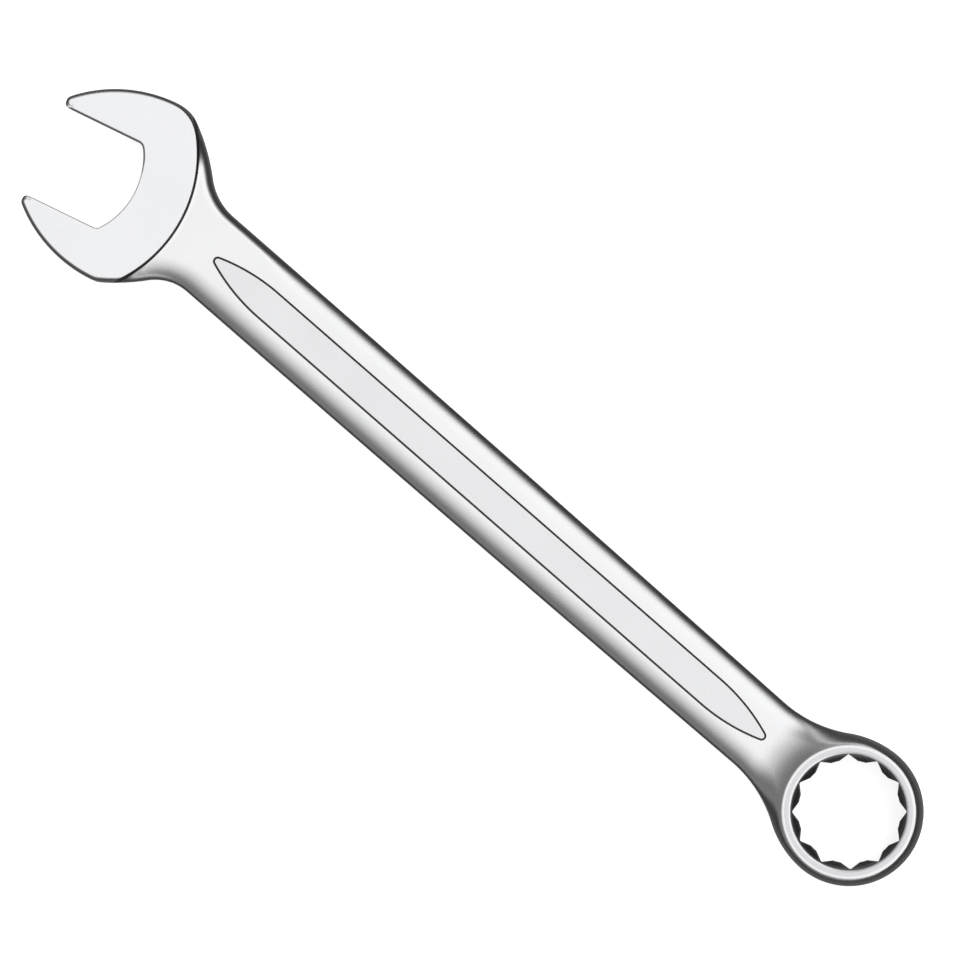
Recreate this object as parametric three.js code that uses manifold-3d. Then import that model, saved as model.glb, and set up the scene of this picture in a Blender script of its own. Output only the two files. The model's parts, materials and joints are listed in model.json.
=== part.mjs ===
// A combination wrench: an open jaw on one end of a flat shank and a twelve-point ring on the other.
//
// Millimetres. While it is modelled the ring is centred on the origin, X runs along the shank from the
// jaw to the ring, Y across the shank and Z through its thickness, with the middle plane at Z = 0.
// The finished wrench is then laid down, so that it rests on Z = 0 with the middle of its length and
// width at the origin.
import * as THREE from "three";
import { mergeVertices, toCreasedNormals } from "three/addons/utils/BufferGeometryUtils.js";
import Module from "manifold-3d";

const wasm = await Module();
wasm.setup();

// ---- Driving dimensions --------------------------------------------------------------------------

// The nut that both ends turn.
const nutAcrossFlats = 19;
const jawClearance = 0.15;
const ringClearance = 0.35;

// Where the jaw's nut sits, measured from the ring's centre.
const nutToRing = 198.4;
const nutBelowShank = 3.65;
const jawTurn = THREE.MathUtils.degToRad(15);

// The open head. Its throat and the rear edge of its face are arcs centred a little towards the upper
// jaw. Each side of the jaw has its own wall, radii and rounded tip.
const headThickness = 8.4;
const heelWall = 10.8;
const faceRadius = 27.8;
const archShift = 0.5;
const throatSetback = 4.6;
const throatRoom = 0.1;
const throatCornerRadius = 1.5;
const crownReach = 10.7;
const jawSideRadius = 28.4;
const jawShoulderRadius = 40;
const upperJaw = { wall: 10.4, crownRadius: 7.9, crownEnd: 50.3, neckFillet: 12.2, tipRadius: 1.4 };
const lowerJaw = { wall: 9.5, crownRadius: 4.2, crownEnd: 68.9, neckFillet: 9.9, tipRadius: 1.2 };

// The shank, whose sides bow outwards slightly between its two widths.
const shankThickness = 6.6;
const shankWidthAtJaw = 17.3;
const shankWidthAtRing = 15.72;
const shankEdgeHeight = 1.6;

// The sunk panel on each face of the shank, pointed at both ends.
const panelWidth = 6.64;
const panelDepth = 0.5;
const panelLand = 0.3;
const panelPointLength = 14.3;
const panelPointRadius = 40;
const heelToPanel = 10;
const ringToPanel = 7.2;

// The ring head.
const ringThickness = 11.2;
const ringWall = 3.55;
const ringEdgeWidth = 1.5;
const ringEdgeDrop = 4;
const ringShoulderRadius = 20;
const ringShoulderStart = 94;
const ringNeckFillet = 25.8;
const rampLength = 8.5;

// The twelve-point bore.
const boreTurn = THREE.MathUtils.degToRad(11.5);
const borePoints = 12;
const boreCornerRelief = 0.35;
const boreCornerRadius = 0.4;
const boreRidgeTrim = 0.23;
const mouthChamfer = 1.3;

// How far past each point of the panel the forging is divided into its named regions.
const seamPastPanel = 1;

// ---- Sizes that follow ---------------------------------------------------------------------------

const jawOpening = nutAcrossFlats + jawClearance;
const ringOpening = nutAcrossFlats + ringClearance;
const throatDepth = nutAcrossFlats / Math.sqrt(3) + throatRoom;
const throatRadius = throatDepth + throatSetback;
const ringCornerRadius = ringOpening / Math.sqrt(3);
const ringRadius = ringCornerRadius + ringWall;
const nutCentre = new THREE.Vector2(-nutToRing, -nutBelowShank);
const faceReach = throatDepth + heelWall;
const panelStart = nutCentre.x + faceReach * Math.cos(jawTurn) + heelToPanel;
const panelEnd = -(ringRadius + ringToPanel);
const shankFlatWidth = panelWidth + 2 * panelLand;
const jawSeam = panelStart - seamPastPanel;
const ringSeam = panelEnd + seamPastPanel;

// ---- Flat outlines -------------------------------------------------------------------------------

const arcStep = THREE.MathUtils.degToRad(7);

/** The point at an angle on a circle. */
function onCircle(centre, radius, angle) {
  return new THREE.Vector2(centre.x + radius * Math.cos(angle), centre.y + radius * Math.sin(angle));
}

/** Points along an arc, from one angle to another, both ends included. */
function arcPoints(centre, radius, from, to) {
  const steps = Math.max(1, Math.ceil(Math.abs(to - from) / arcStep));
  return Array.from({ length: steps + 1 }, (_, i) =>
    onCircle(centre, radius, from + ((to - from) * i) / steps),
  );
}

/** A point given in the jaw's own frame, where x runs into the throat and y across the flats. */
function fromJaw(x, y) {
  return new THREE.Vector2(x, y).rotateAround(new THREE.Vector2(), jawTurn).add(nutCentre);
}

/**
 * The edge of a neck: from a round head, over a shoulder of larger radius and through a fillet, to
 * the level edge of the shank. side is +1 above the shank and -1 below, toward is the X direction
 * of the shank as seen from the head.
 */
function neckEdge({ centre, radius, leave, shoulder, fillet, halfWidth, side, toward }) {
  const shoulderCentre = onCircle(centre, radius - shoulder, leave);
  const filletY = side * (halfWidth + fillet);
  const rise = filletY - shoulderCentre.y;
  const run = Math.sqrt((shoulder + fillet) ** 2 - rise ** 2);
  const filletCentre = new THREE.Vector2(shoulderCentre.x + toward * run, filletY);
  const meet = Math.atan2(rise, toward * run);
  const shoulderEnd = leave + Math.atan2(Math.sin(meet - leave), Math.cos(meet - leave));
  const level = -side * (Math.PI / 2);
  const back = shoulderEnd + Math.PI;
  const filletStart = level + Math.atan2(Math.sin(back - level), Math.cos(back - level));
  return [
    ...arcPoints(shoulderCentre, shoulder, leave, shoulderEnd),
    ...arcPoints(filletCentre, fillet, filletStart, level).slice(1),
  ];
}

/** One side of the open head, from the flat of the jaw round its tip and crown to the shank. */
function headEdge(jaw, side) {
  const flat = jawOpening / 2;
  const crownHeight = flat + jaw.wall;
  const sideCentre = new THREE.Vector2(crownReach, side * (crownHeight - jawSideRadius));
  const crownCentre = new THREE.Vector2(crownReach, side * (crownHeight - jaw.crownRadius));
  // The tip's small circle touches the flat and, from inside, the long curve of the jaw's side.
  const tipRise = flat + jaw.tipRadius - side * sideCentre.y;
  const tipX = crownReach - Math.sqrt((jawSideRadius - jaw.tipRadius) ** 2 - tipRise ** 2);
  const tipCentre = new THREE.Vector2(tipX, side * (flat + jaw.tipRadius));
  const tipEnd = Math.atan2(tipRise, tipX - crownReach);
  const crownEnd = THREE.MathUtils.degToRad(jaw.crownEnd);
  const inJaw = [
    ...arcPoints(tipCentre, jaw.tipRadius, side * 1.5 * Math.PI, side * tipEnd),
    ...arcPoints(sideCentre, jawSideRadius, side * tipEnd, (side * Math.PI) / 2).slice(1),
    ...arcPoints(crownCentre, jaw.crownRadius, (side * Math.PI) / 2, side * crownEnd).slice(1),
  ];
  const neck = neckEdge({
    centre: fromJaw(crownCentre.x, crownCentre.y),
    radius: jaw.crownRadius,
    leave: side * crownEnd + jawTurn,
    shoulder: jawShoulderRadius,
    fillet: jaw.neckFillet,
    halfWidth: shankWidthAtJaw / 2,
    side,
    toward: 1,
  });
  return [...inJaw.map((p) => fromJaw(p.x, p.y)), ...neck.slice(1)];
}

/** One side of the ring's neck, from the ring's widest point back to the shank. */
function ringNeckEdge(side) {
  return neckEdge({
    centre: new THREE.Vector2(),
    radius: ringRadius,
    leave: side * THREE.MathUtils.degToRad(ringShoulderStart),
    shoulder: ringShoulderRadius,
    fillet: ringNeckFillet,
    halfWidth: shankWidthAtRing / 2,
    side,
    toward: -1,
  });
}

/** A whole side of the wrench from the jaw to the ring, the shank's edge being one long flat curve. */
function wrenchEdge(headSide, side) {
  const ringSide = ringNeckEdge(side).reverse();
  const from = headSide.at(-1);
  const to = ringSide[0];
  const bow = new THREE.QuadraticBezierCurve(from, new THREE.Vector2((from.x + to.x) / 2, from.y), to);
  return [...headSide, ...bow.getPoints(12).slice(1, -1), ...ringSide];
}

/** How far across the shank an edge lies at a given x. */
function edgeAt(edge, x) {
  const i = edge.findIndex((p, at) => at > 0 && p.x >= x && edge[at - 1].x < x);
  const share = (x - edge[i - 1].x) / (edge[i].x - edge[i - 1].x);
  return THREE.MathUtils.lerp(edge[i - 1].y, edge[i].y, share);
}

/** The jaw's opening: two flats and a round throat, with its corners eased, and open beyond the tips. */
function jawOutline() {
  const flat = jawOpening / 2;
  const reach = crownReach + jawSideRadius;
  const throat = new THREE.Vector2(-throatSetback, archShift);
  const [lower, upper] = [-1, 1].map((side) => {
    const y = side * (flat - throatCornerRadius);
    const x = throat.x + Math.sqrt((throatRadius - throatCornerRadius) ** 2 - (y - throat.y) ** 2);
    const centre = new THREE.Vector2(x, y);
    return { centre, swing: centre.clone().sub(throat).angle() };
  });
  const lowerSwing = lower.swing - 2 * Math.PI;
  const points = [
    new THREE.Vector2(-reach, -flat),
    ...arcPoints(lower.centre, throatCornerRadius, -Math.PI / 2, lowerSwing),
    ...arcPoints(throat, throatRadius, lowerSwing, upper.swing).slice(1, -1),
    ...arcPoints(upper.centre, throatCornerRadius, upper.swing, Math.PI / 2),
    new THREE.Vector2(-reach, flat),
  ];
  return points.map((p) => fromJaw(p.x, p.y));
}

/** The panel: straight sides, long curved points, and a small round at each tip. */
function panelOutline() {
  const half = panelWidth / 2;
  const sink = panelPointRadius - half;
  const missing = panelPointRadius ** 2 - sink ** 2 - panelPointLength ** 2;
  const tipRadius = missing / (2 * (panelPointRadius - panelPointLength));
  const middle = (panelStart + panelEnd) / 2;
  const straight = (panelEnd - panelStart) / 2 - panelPointLength;
  const lean = Math.asin((panelPointLength - tipRadius) / (panelPointRadius - tipRadius));
  const top = Math.PI / 2;
  const tip = new THREE.Vector2(straight + panelPointLength - tipRadius, 0);
  const quarter = [
    ...arcPoints(tip, tipRadius, 0, top - lean),
    ...arcPoints(new THREE.Vector2(straight, -sink), panelPointRadius, top - lean, top).slice(1),
  ];
  const upper = [...quarter, ...quarter.map((p) => new THREE.Vector2(-p.x, p.y)).reverse()];
  const lower = upper.slice(1, -1).map((p) => new THREE.Vector2(p.x, -p.y)).reverse();
  return [...upper, ...lower].map((p) => new THREE.Vector2(middle + p.x, p.y));
}

/** The bore: twelve rounded corners with short drive faces between them, and ridges on one circle. */
function boreOutline() {
  const flat = ringOpening / 2;
  const pitch = (2 * Math.PI) / borePoints;
  const ridgeRadius = flat / Math.cos(pitch / 2) + boreRidgeTrim;
  const ridgeTurn = pitch - Math.acos(flat / ridgeRadius);
  const axis = new THREE.Vector2();
  const corner = new THREE.Vector2(ringCornerRadius + boreCornerRelief, 0);
  // Each corner's round touches both of its drive faces, which run from the ridges to the corner.
  const along = onCircle(axis, ridgeRadius, ridgeTurn).sub(corner);
  const swing = along.angle() - Math.PI / 2;
  const roundAt = corner.x - boreCornerRadius / Math.cos(swing);
  const cornerSteps = [-1, 0, 1];
  return Array.from({ length: borePoints }, (_, i) => {
    const turn = boreTurn + i * pitch;
    const round = onCircle(axis, roundAt, turn);
    return [
      ...cornerSteps.map((share) => onCircle(round, boreCornerRadius, turn + share * swing)),
      onCircle(axis, ridgeRadius, turn + ridgeTurn),
      onCircle(axis, ridgeRadius, turn + pitch / 2),
      onCircle(axis, ridgeRadius, turn + pitch - ridgeTurn),
    ];
  }).flat();
}

// ---- Solids --------------------------------------------------------------------------------------

/** A closed three.js geometry as a solid that can be joined and cut. */
function solidOf(geometry) {
  const bare = new THREE.BufferGeometry();
  bare.setAttribute("position", geometry.getAttribute("position"));
  bare.setIndex(geometry.getIndex());
  const merged = mergeVertices(bare, 1e-4);
  return new wasm.Manifold(
    new wasm.Mesh({
      numProp: 3,
      vertProperties: merged.getAttribute("position").array,
      triVerts: new Uint32Array(merged.getIndex().array),
    }),
  );
}

/** A flat outline made into a slab, centred on a height, with a small bevel round its rim. */
function slab(outline, thickness, bevel = 0, middle = 0) {
  const depth = thickness - 2 * bevel;
  const geometry = new THREE.ExtrudeGeometry(new THREE.Shape(outline), {
    depth,
    bevelEnabled: bevel > 0,
    bevelSize: bevel,
    bevelOffset: -bevel,
    bevelThickness: bevel,
    bevelSegments: 2,
  });
  return solidOf(geometry.translate(0, 0, middle - depth / 2));
}

/** A profile of radius and height turned about the Z axis. */
function turned(profile, segments) {
  const points = profile.map(([radius, height]) => new THREE.Vector2(radius, height));
  return solidOf(new THREE.LatheGeometry(points, segments).rotateX(Math.PI / 2));
}

/** A solid skinned over closed sections that all have the same number of points. */
function lofted(sections) {
  const around = sections[0].length;
  const positions = sections.flat().flatMap((p) => p.toArray());
  const index = [];
  for (let s = 0; s + 1 < sections.length; s++) {
    for (let i = 0; i < around; i++) {
      const a = s * around + i;
      const b = s * around + ((i + 1) % around);
      index.push(a, a + around, b, b, a + around, b + around);
    }
  }
  const last = (sections.length - 1) * around;
  for (let i = 1; i + 1 < around; i++) {
    index.push(0, i, i + 1);
    index.push(last, last + i + 1, last + i);
  }
  const geometry = new THREE.BufferGeometry();
  geometry.setAttribute("position", new THREE.Float32BufferAttribute(positions, 3));
  geometry.setIndex(index);
  return solidOf(geometry);
}

/** A section across the shank: flat in the middle, with flanks that curve down to a narrow edge. */
function shankSection(x, upperY, lowerY, halfHeight) {
  const halfFlat = shankFlatWidth / 2;
  const halfEdge = shankEdgeHeight / 2;
  const corners = [
    [upperY, 1],
    [lowerY, -1],
  ];
  const flankSteps = 5;
  const section = [];
  for (const [edgeY, side] of corners) {
    for (let i = 0; i < 2 * flankSteps + 2; i++) {
      const below = i <= flankSteps;
      const step = below ? i : 2 * flankSteps + 1 - i;
      const angle = (Math.PI / 2) * (1 - step / flankSteps);
      const y = side * halfFlat + (edgeY - side * halfFlat) * Math.cos(angle);
      const z = halfEdge + (halfHeight - halfEdge) * Math.sin(angle);
      section.push(new THREE.Vector3(x, y, (below ? 1 : -1) * side * z));
    }
  }
  return section;
}

/** The shank with both necks. It reaches into the heads, and swells to the ring's height at the ring. */
function shankBody(upperEdge, lowerEdge) {
  const start = fromJaw(crownReach, 0).x;
  const end = -ringRadius / 2;
  const rampEnd = ringEdgeWidth - ringRadius;
  const ramp = Array.from({ length: 7 }, (_, i) => rampEnd - (rampLength * i) / 6);
  const stations = [start, end, ...ramp, ...upperEdge.map((p) => p.x), ...lowerEdge.map((p) => p.x)]
    .filter((x) => x >= start && x <= end)
    .sort((a, b) => a - b)
    .filter((x, i, all) => i === 0 || x - all[i - 1] > 0.25);
  const sections = stations.map((x) => {
    const climb = THREE.MathUtils.smoothstep(x, rampEnd - rampLength, rampEnd);
    const halfHeight = THREE.MathUtils.lerp(shankThickness, ringThickness, climb) / 2;
    return shankSection(x, edgeAt(upperEdge, x), edgeAt(lowerEdge, x), halfHeight);
  });
  return lofted(sections);
}

/** The flat-faced slab of the open head, which ends in a curved step down to the neck. */
function headSlab(upperHead, lowerHead) {
  const outline = [...upperHead, ...lowerHead.slice().reverse()];
  const half = headThickness / 2;
  const edge = 0.5;
  const faceProfile = [
    [0, -half],
    [faceRadius - edge, -half],
    [faceRadius, edge - half],
    [faceRadius, half - edge],
    [faceRadius - edge, half],
    [0, half],
  ];
  const centre = fromJaw(faceReach - faceRadius, archShift);
  const face = turned(faceProfile, 72).translate([centre.x, centre.y, 0]);
  return slab(outline, headThickness, edge).intersect(face);
}

/** The ring: flat faces, and sides that round over to the faces. */
function ringDisc() {
  const half = ringThickness / 2;
  const quarter = Array.from({ length: 5 }, (_, i) => {
    const angle = (i / 4) * (Math.PI / 2);
    return [
      ringRadius - ringEdgeWidth * (1 - Math.cos(angle)),
      half - ringEdgeDrop * (1 - Math.sin(angle)),
    ];
  });
  const lower = quarter.map(([radius, height]) => [radius, -height]).reverse();
  return turned([[0, -half], ...lower, ...quarter, [0, half]], 72);
}

/** The cone that eases each mouth of the bore. */
function mouthCone(side) {
  const half = ringThickness / 2;
  const mouth = ringCornerRadius + boreCornerRelief;
  const over = 1;
  const profile = [
    [0, half - mouthChamfer],
    [mouth - mouthChamfer, half - mouthChamfer],
    [mouth + over, half + over],
    [0, half + over],
  ];
  const cone = turned(profile, 72);
  return side > 0 ? cone : cone.rotate([180, 0, 0]);
}

// ---- The forging ---------------------------------------------------------------------------------

const upperHead = headEdge(upperJaw, 1);
const lowerHead = headEdge(lowerJaw, -1);
const body = shankBody(wrenchEdge(upperHead, 1), wrenchEdge(lowerHead, -1));
const tall = 2 * ringThickness;
const panelSlab = (side) => slab(panelOutline(), panelDepth * 2, 0, (side * shankThickness) / 2);

const forging = body
  .add(headSlab(upperHead, lowerHead))
  .add(ringDisc())
  .subtract(slab(jawOutline(), tall))
  .subtract(slab(boreOutline(), tall))
  .subtract(mouthCone(1))
  .subtract(mouthCone(-1))
  .subtract(panelSlab(1))
  .subtract(panelSlab(-1));

// The three regions meet face to face on planes across the shank.
const [pastJaw, openHead] = forging.splitByPlane([1, 0, 0], jawSeam);
const [ringHead, shank] = pastJaw.splitByPlane([1, 0, 0], ringSeam);

// ---- The scene -----------------------------------------------------------------------------------

const groundFace = { color: 0xe6e7ea, roughness: 0.3, metalness: 1 };
const satinChrome = { color: 0xd6d7da, roughness: 0.38, metalness: 1 };
const brightChrome = { color: 0xdedfe2, roughness: 0.26, metalness: 1 };

function namedMesh(name, solid, finish) {
  const { vertProperties, triVerts } = solid.getMesh();
  const geometry = new THREE.BufferGeometry();
  geometry.setAttribute("position", new THREE.BufferAttribute(vertProperties, 3));
  geometry.setIndex(new THREE.BufferAttribute(triVerts, 1));
  const mesh = new THREE.Mesh(
    toCreasedNormals(geometry, THREE.MathUtils.degToRad(25)),
    new THREE.MeshStandardMaterial(finish),
  );
  mesh.name = name;
  return mesh;
}

const wrench = new THREE.Group();
wrench.add(namedMesh("open_end_head", openHead, groundFace));
wrench.add(namedMesh("shank", shank, satinChrome));
wrench.add(namedMesh("ring_head", ringHead, brightChrome));

const bounds = new THREE.Box3().setFromObject(wrench);
const middle = bounds.getCenter(new THREE.Vector3());
wrench.position.set(-middle.x, -middle.y, -bounds.min.z);

export default wrench;
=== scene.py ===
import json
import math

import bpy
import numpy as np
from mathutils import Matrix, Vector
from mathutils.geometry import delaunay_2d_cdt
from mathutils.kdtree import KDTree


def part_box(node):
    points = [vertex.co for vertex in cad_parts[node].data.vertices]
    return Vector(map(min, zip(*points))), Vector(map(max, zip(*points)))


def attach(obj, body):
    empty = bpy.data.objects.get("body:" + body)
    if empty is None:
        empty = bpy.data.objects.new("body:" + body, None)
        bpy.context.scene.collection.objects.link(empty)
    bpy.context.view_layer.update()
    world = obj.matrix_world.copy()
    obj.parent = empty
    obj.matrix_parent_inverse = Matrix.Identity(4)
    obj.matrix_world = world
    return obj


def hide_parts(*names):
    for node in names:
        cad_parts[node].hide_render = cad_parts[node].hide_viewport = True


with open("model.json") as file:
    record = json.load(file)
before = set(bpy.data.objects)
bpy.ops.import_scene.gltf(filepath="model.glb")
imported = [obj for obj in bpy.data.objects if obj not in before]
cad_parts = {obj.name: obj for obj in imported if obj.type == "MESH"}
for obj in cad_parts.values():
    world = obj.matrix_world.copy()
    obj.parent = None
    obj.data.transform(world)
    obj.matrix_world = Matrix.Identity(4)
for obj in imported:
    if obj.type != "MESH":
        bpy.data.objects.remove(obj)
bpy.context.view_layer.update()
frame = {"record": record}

# %% [markdown]
# # A combination wrench
# A combination wrench is one drop forging: an open jaw, a flat shank with a sunk panel on each face,
# and a ring with a twelve-point bore. Nothing on it moves. It is forged, the two faces of the open
# head are ground flat, the bore is broached, and then the whole tool is plated with satin chrome.
#
# Its shape could be carved with booleans, but chrome shows every uneven triangle that a boolean leaves.
# Here the wrench is described as a height above its middle plane instead. One function gives the
# height at any point of the plan, and it holds the jaw's flat face, the step behind it, the rounded
# flanks, the sunk panel, the ramp up to the ring and the ring's eased edges. The plan is filled with
# triangles, each corner is lifted to its height, and the shading normals come from the function too,
# so the reflections stay smooth.

MM = 0.001
HEAD, SHANK, RING = "open_end_head", "shank", "ring_head"


# %% [markdown]
# ## Places that the frame gives
# The ring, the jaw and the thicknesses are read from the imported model: the ring's box gives its
# centre and radius, and the two mounts on the jaw's flats give the nut's centre, the opening and its
# turn. Everything is then worked in millimetres, from the ring's centre, with Z = 0 in the middle.

# %% Measures from the frame
def box_mm(node):
    low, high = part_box(node)
    return np.array(low) / MM, np.array(high) / MM


ring_low, ring_high = box_mm(RING)
head_low, head_high = box_mm(HEAD)
shank_low, shank_high = box_mm(SHANK)
ring_radius = (ring_high[1] - ring_low[1]) / 2
ring_half = (ring_high[2] - ring_low[2]) / 2
head_half = (head_high[2] - head_low[2]) / 2
origin = np.array([ring_high[0] - ring_radius, (ring_low[1] + ring_high[1]) / 2, ring_low[2] + ring_half])
jaw_seam = shank_low[0] - origin[0]
ring_seam = shank_high[0] - origin[0]

mounts = {m["name"]: m for m in frame["record"]["mounts"]}
upper_flat = np.array(mounts["upper_jaw_flat"]["pos_m"][:2]) / MM - origin[:2]
lower_flat = np.array(mounts["lower_jaw_flat"]["pos_m"][:2]) / MM - origin[:2]
into_jaw = np.array(mounts["lower_jaw_flat"]["axis"][:2])
nut_centre = (upper_flat + lower_flat) / 2
jaw_turn = math.atan2(-into_jaw[0], into_jaw[1])
jaw_half = float((upper_flat - nut_centre) @ into_jaw)
print(f"the ring is {2 * ring_radius:.2f} mm across and the jaw {2 * jaw_half:.2f} mm open")
print(f"the jaw is turned {math.degrees(jaw_turn):.1f} degrees")

# %% [markdown]
# ## The outline, as arcs
# A forging's outline is a chain of arcs, each tangent to the next: a rounded tip, the long side of
# the jaw, its crown, a shoulder, the neck's fillet, the slightly bowed edge of the shank, and the
# same at the ring. An arc is easy to draw, to offset and to measure a distance from, so the outline
# is kept as arcs and never turned into a table of points.

# %% Arcs
class Arc:
    """A run round a circle from one angle to another. convex arcs have the metal inside the circle."""

    def __init__(self, centre, radius, start, end, convex=True):
        self.centre = np.array(centre, float)
        self.radius = radius
        self.start, self.end = start, end
        self.convex = convex

    def at(self, angle, depth=0.0):
        reach = self.radius + (-depth if self.convex else depth)
        return self.centre + reach * np.stack([np.cos(angle), np.sin(angle)], -1)

    def points(self, spacing, depth=0.0):
        count = max(1, math.ceil(abs(self.end - self.start) * self.radius / spacing))
        return self.at(np.linspace(self.start, self.end, count + 1), depth)

    def distance(self, points):
        offset = points - self.centre
        middle, half = (self.start + self.end) / 2, abs(self.end - self.start) / 2
        turn = np.arctan2(offset[:, 1], offset[:, 0]) - middle
        turn = (turn + np.pi) % (2 * np.pi) - np.pi
        gap = np.abs(np.hypot(offset[:, 0], offset[:, 1]) - self.radius)
        ends = [np.linalg.norm(points - self.at(angle), axis=1) for angle in (self.start, self.end)]
        return np.where(np.abs(turn) <= half, gap, np.minimum(*ends))


def nearest(arcs, points):
    return np.min([arc.distance(points) for arc in arcs], axis=0)


def turned_near(angle, other):
    """The same direction as angle, written within half a turn of another angle."""
    return other + (angle - other + math.pi) % (2 * math.pi) - math.pi


def turned(points, angle):
    cos, sin = math.cos(angle), math.sin(angle)
    return points @ np.array([[cos, sin], [-sin, cos]])


def from_jaw(x, y):
    return nut_centre + turned(np.array([x, y]), jaw_turn)


def beside_jaw(points):
    """How far points lie outside the line of the jaw's nearer flat, and how far past the nut's centre."""
    offset = points - nut_centre
    return np.abs(offset @ into_jaw) - jaw_half, offset @ np.array([into_jaw[1], -into_jaw[0]])


# %% The two heads' sizes
CROWN_REACH = 10.7
JAW_SIDE_RADIUS = 28.4
JAW_SHOULDER_RADIUS = 40.0
UPPER_JAW = dict(wall=10.4, crown_radius=7.9, crown_end=50.3, fillet=12.2, tip_radius=1.4)
LOWER_JAW = dict(wall=9.5, crown_radius=4.2, crown_end=68.9, fillet=9.9, tip_radius=1.2)
SHANK_HALF_AT_JAW = 8.65
SHANK_HALF_AT_RING = 7.86
RING_SHOULDER_RADIUS = 20.0
RING_SHOULDER_START = 94.0
RING_NECK_FILLET = 25.8


# %% A neck: shoulder and fillet
def neck_arcs(centre, radius, leave, shoulder, fillet, half_width, side, toward):
    """From a round head, over a larger shoulder and through a fillet, to the level edge of the shank."""
    shoulder_centre = centre + (radius - shoulder) * np.array([math.cos(leave), math.sin(leave)])
    fillet_y = side * (half_width + fillet)
    rise = fillet_y - shoulder_centre[1]
    run = math.sqrt((shoulder + fillet) ** 2 - rise**2)
    fillet_centre = (shoulder_centre[0] + toward * run, fillet_y)
    shoulder_end = turned_near(math.atan2(rise, toward * run), leave)
    level = -side * math.pi / 2
    return [
        Arc(shoulder_centre, shoulder, leave, shoulder_end),
        Arc(fillet_centre, fillet, turned_near(shoulder_end + math.pi, level), level, convex=False),
    ]


# %% One side of the outline, from the jaw's tip to the ring's far end
def side_arcs(jaw, side):
    crown_height = jaw_half + jaw["wall"]
    side_y = crown_height - JAW_SIDE_RADIUS
    crown_y = crown_height - jaw["crown_radius"]
    tip_rise = jaw_half + jaw["tip_radius"] - side_y
    tip_x = CROWN_REACH - math.sqrt((JAW_SIDE_RADIUS - jaw["tip_radius"]) ** 2 - tip_rise**2)
    tip_end = math.atan2(tip_rise, tip_x - CROWN_REACH)
    crown_end = math.radians(jaw["crown_end"])
    crown_centre = from_jaw(CROWN_REACH, side * crown_y)
    tip_centre = from_jaw(tip_x, side * (jaw_half + jaw["tip_radius"]))
    head = [
        Arc(tip_centre, jaw["tip_radius"], side * 1.5 * math.pi + jaw_turn, side * tip_end + jaw_turn),
        Arc(from_jaw(CROWN_REACH, side * side_y), JAW_SIDE_RADIUS,
            side * tip_end + jaw_turn, side * math.pi / 2 + jaw_turn),
        Arc(crown_centre, jaw["crown_radius"], side * math.pi / 2 + jaw_turn, side * crown_end + jaw_turn),
    ]
    neck = neck_arcs(crown_centre, jaw["crown_radius"], side * crown_end + jaw_turn,
                     JAW_SHOULDER_RADIUS, jaw["fillet"], SHANK_HALF_AT_JAW, side, 1)
    leave = side * math.radians(RING_SHOULDER_START)
    ring_neck = neck_arcs(np.zeros(2), ring_radius, leave, RING_SHOULDER_RADIUS,
                          RING_NECK_FILLET, SHANK_HALF_AT_RING, side, -1)
    start, end = neck[-1].at(neck[-1].end), ring_neck[-1].at(ring_neck[-1].end)
    length, drop = end[0] - start[0], abs(end[1] - start[1])
    bow_radius = (length**2 + drop**2) / (2 * drop)
    up = side * math.pi / 2
    bow = Arc(start - (0, side * bow_radius), bow_radius, up, up - side * math.asin(length / bow_radius))
    back = [Arc(a.centre, a.radius, a.end, a.start, a.convex) for a in reversed(ring_neck)]
    return head + neck + [bow] + back + [Arc((0, 0), ring_radius, leave, 0.0)]


upper_side = side_arcs(UPPER_JAW, 1)
lower_side = side_arcs(LOWER_JAW, -1)
outer_arcs = upper_side + lower_side
print("the outline has", len(outer_arcs), "arcs")

# %% The jaw's opening: two flats and a throat between eased corners
THROAT_SETBACK = 4.6
THROAT_RADIUS = 15.67
THROAT_CORNER = 1.5
ARCH_SHIFT = 0.5
FACE_RADIUS = 27.8
FACE_REACH = 21.87


class Flat:
    """A straight edge with the metal beside it."""

    def __init__(self, start, end):
        self.start, self.end = np.array(start), np.array(end)

    def points(self, spacing):
        count = math.ceil(float(np.linalg.norm(self.end - self.start)) / spacing)
        return self.start + np.linspace(0, 1, count + 1)[:, None] * (self.end - self.start)

    def distance(self, points):
        run = self.end - self.start
        share = np.clip(((points - self.start) @ run) / (run @ run), 0, 1)
        return np.linalg.norm(points - self.start - share[:, None] * run, axis=1)


def jaw_edges():
    """From the lower tip along the lower flat, round the throat and out along the upper flat."""
    throat = np.array([-THROAT_SETBACK, ARCH_SHIFT])
    corners = []
    for side in (-1, 1):
        y = side * (jaw_half - THROAT_CORNER)
        x = throat[0] + math.sqrt((THROAT_RADIUS - THROAT_CORNER) ** 2 - (y - throat[1]) ** 2)
        corners.append((np.array([x, y]), math.atan2(y - throat[1], x - throat[0])))
    (low, low_swing), (high, high_swing) = corners
    low_tip = lower_side[0].at(lower_side[0].start)
    high_tip = upper_side[0].at(upper_side[0].start)
    quarter = math.pi / 2
    low_arc = Arc(from_jaw(*low), THROAT_CORNER, jaw_turn - quarter, jaw_turn + low_swing, False)
    throat_arc = Arc(from_jaw(*throat), THROAT_RADIUS, jaw_turn + low_swing, jaw_turn + high_swing, False)
    high_arc = Arc(from_jaw(*high), THROAT_CORNER, jaw_turn + high_swing, jaw_turn + quarter, False)
    return [
        Flat(low_tip, low_arc.at(low_arc.start)), low_arc, throat_arc, high_arc,
        Flat(high_arc.at(high_arc.end), high_tip),
    ]


jaw_opening = jaw_edges()
face_centre = from_jaw(FACE_REACH - FACE_RADIUS, ARCH_SHIFT)

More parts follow.
